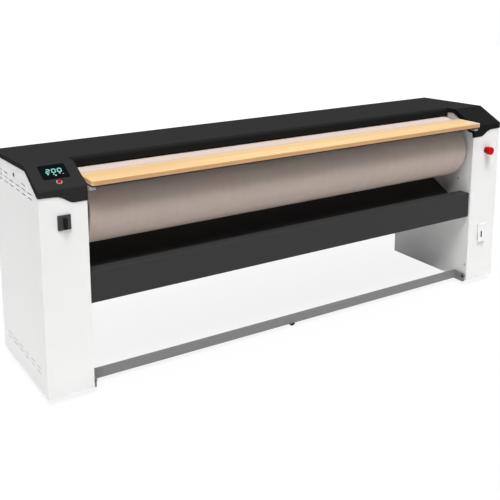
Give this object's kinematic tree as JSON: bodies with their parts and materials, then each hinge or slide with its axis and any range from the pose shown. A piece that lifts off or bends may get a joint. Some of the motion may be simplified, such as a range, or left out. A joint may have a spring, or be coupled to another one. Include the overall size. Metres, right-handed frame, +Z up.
{
  "type": "flatwork ironer",
  "caption": "Wide free-standing flatwork ironer: padded roll and heated chest between two white end columns, wooden feed board, dark collecting tray and foot bar.",
  "frame": {"origin": "centre of the bounding box at floor level, under the levelling feet", "axes": "+X along the roll, to the right of a person who stands in front; +Y from the front to the rear; +Z up"},
  "size_m": [2.605, 0.684, 0.978],
  "materials": {
    "white_powder_coat": "white powder coat, satin",
    "black_powder_coat": "charcoal powder coat, satin",
    "tray_coat": "dark grey coat, satin",
    "grey_coat": "mid grey coat, satin",
    "light_grey_cast": "light grey paint on castings",
    "machine_paint": "grey-blue machine paint",
    "galvanised_sheet": "galvanised sheet, dull",
    "machined_steel": "turned and ground steel",
    "polished_chest": "polished stainless steel",
    "chain_steel": "oiled steel",
    "bearing_iron": "cast housing",
    "roll_cloth": "beige needle felt and cotton cover",
    "mineral_wool": "mineral wool",
    "board_wood": "light wood laminate, clear satin",
    "rubber_black": "matt black rubber",
    "plastic_black": "black plastic",
    "plastic_grey": "grey plastic",
    "plastic_red": "glossy red plastic",
    "display_glass": "dark printed display window",
    "ring_metal": "bright metal ring",
    "fan_plastic": "dark plastic"
  },
  "bodies": {
    "base": {"left_inner_frame": "white_powder_coat", "right_inner_frame": "white_powder_coat", "left_front_panel": "white_powder_coat", "right_front_panel": "white_powder_coat", "left_side_panel": "white_powder_coat", "right_side_panel": "white_powder_coat", "column_rear_panels": "white_powder_coat", "base_pans": "galvanised_sheet", "rear_cover": "white_powder_coat", "cross_beams": "galvanised_sheet", "top_cover": "black_powder_coat", "left_fascia": "black_powder_coat", "right_fascia": "black_powder_coat", "collecting_tray": "tray_coat", "levelling_feet": "rubber_black", "casing_screws": "machined_steel", "display_glass": "display_glass", "display_module": "plastic_black", "button_ring": "ring_metal", "switch_plate": "plastic_grey", "switch_body": "plastic_grey", "estop_collar": "plastic_red", "estop_contacts": "plastic_black", "electrical_tray": "plastic_grey", "cable_gland": "plastic_black", "roll_bearings": "bearing_iron", "drive_gearbox": "machine_paint", "drive_motor": "machine_paint", "drive_chain": "chain_steel", "fan_housing": "galvanised_sheet", "fan_motor": "machine_paint", "suction_duct": "galvanised_sheet", "exhaust_spigot": "galvanised_sheet", "press_gearbox": "machine_paint", "press_motor": "machine_paint", "board_brackets": "light_grey_cast", "pivot_pins": "machined_steel", "foot_switch": "plastic_black"},
    "roll": {"roll_tube": "machined_steel", "roll_journals": "machined_steel", "roll_padding": "roll_cloth", "roll_sprocket": "chain_steel"},
    "drive_pinion": {"drive_sprocket": "chain_steel"},
    "fan_wheel": {"fan_impeller": "fan_plastic"},
    "chest": {"chest_plate": "polished_chest", "chest_heaters": "machined_steel", "chest_insulation": "mineral_wool", "chest_cover": "galvanised_sheet", "chest_arms": "galvanised_sheet"},
    "press_cams": {"press_shaft": "machined_steel"},
    "hand_spindle": {"crank_spindle": "machined_steel"},
    "foot_lever": {"foot_bar": "grey_coat", "foot_bumper": "rubber_black"},
    "board": {"feed_board": "board_wood", "board_hinges": "light_grey_cast"},
    "main_switch": {"switch_knob": "plastic_black"},
    "start_key": {"start_button": "plastic_red"},
    "stop_key": {"estop_button": "plastic_red"},
    "hatch": {"hatch_flap": "white_powder_coat"},
    "lock": {"side_lock": "machined_steel"}
  },
  "joints": [
    {"name": "roll_spin", "type": "hinge", "parent": "base", "child": "roll", "pos_m": [0, -0.1, 0.768], "axis": [1, 0, 0], "continuous": true},
    {"name": "pinion_spin", "type": "hinge", "parent": "base", "child": "drive_pinion", "pos_m": [-1.142, -0.1, 0.42245], "axis": [1, 0, 0], "continuous": true},
    {"name": "fan_spin", "type": "hinge", "parent": "base", "child": "fan_wheel", "pos_m": [1.193, 0.14, 0.36], "axis": [1, 0, 0], "continuous": true},
    {"name": "chest_swing", "type": "hinge", "parent": "base", "child": "chest", "pos_m": [0, -0.04, 0.945], "axis": [1, 0, 0], "range_deg": [0, 4]},
    {"name": "press_turn", "type": "hinge", "parent": "base", "child": "press_cams", "pos_m": [0, 0.17, 0.73], "axis": [1, 0, 0], "range_deg": [0, 60]},
    {"name": "spindle_turn", "type": "hinge", "parent": "base", "child": "hand_spindle", "pos_m": [1.197, -0.246, 0.2945], "axis": [0, 0.7372, 0.6756], "range_deg": [0, 360]},
    {"name": "foot_press", "type": "hinge", "parent": "base", "child": "foot_lever", "pos_m": [0, -0.275, 0.053], "axis": [1, 0, 0], "range_deg": [-7, 0], "stiffness_Nm_per_rad": 40, "springref_deg": 8.02},
    {"name": "board_lift", "type": "hinge", "parent": "base", "child": "board", "pos_m": [0, -0.307, 0.8945], "axis": [1, 0, 0], "range_deg": [0, 12]},
    {"name": "switch_turn", "type": "hinge", "parent": "base", "child": "main_switch", "pos_m": [-1.2, -0.3, 0.767], "axis": [0, 1, 0], "range_deg": [0, 90]},
    {"name": "start_push", "type": "slide", "parent": "base", "child": "start_key", "axis": [0, 0.4398, -0.8981], "range_m": [0, 0.0025], "stiffness_N_per_m": 400, "springref_m": -0.002},
    {"name": "stop_push", "type": "slide", "parent": "base", "child": "stop_key", "axis": [0, 1, 0], "range_m": [0, 0.005], "stiffness_N_per_m": 800, "springref_m": -0.002},
    {"name": "hatch_lift", "type": "hinge", "parent": "base", "child": "hatch", "pos_m": [1.197, -0.2935, 0.342], "axis": [1, 0, 0], "range_deg": [-110, 0]},
    {"name": "lock_turn", "type": "hinge", "parent": "base", "child": "lock", "pos_m": [-1.297, 0.01, 0.91], "axis": [1, 0, 0], "range_deg": [0, 90]}
  ],
  "couplings": [
    {"joint": "pinion_spin", "follows": "roll_spin", "ratio": 2},
    {"joint": "press_turn", "follows": "chest_swing", "ratio": 15},
    {"joint": "spindle_turn", "follows": "chest_swing", "ratio": 90}
  ]
}
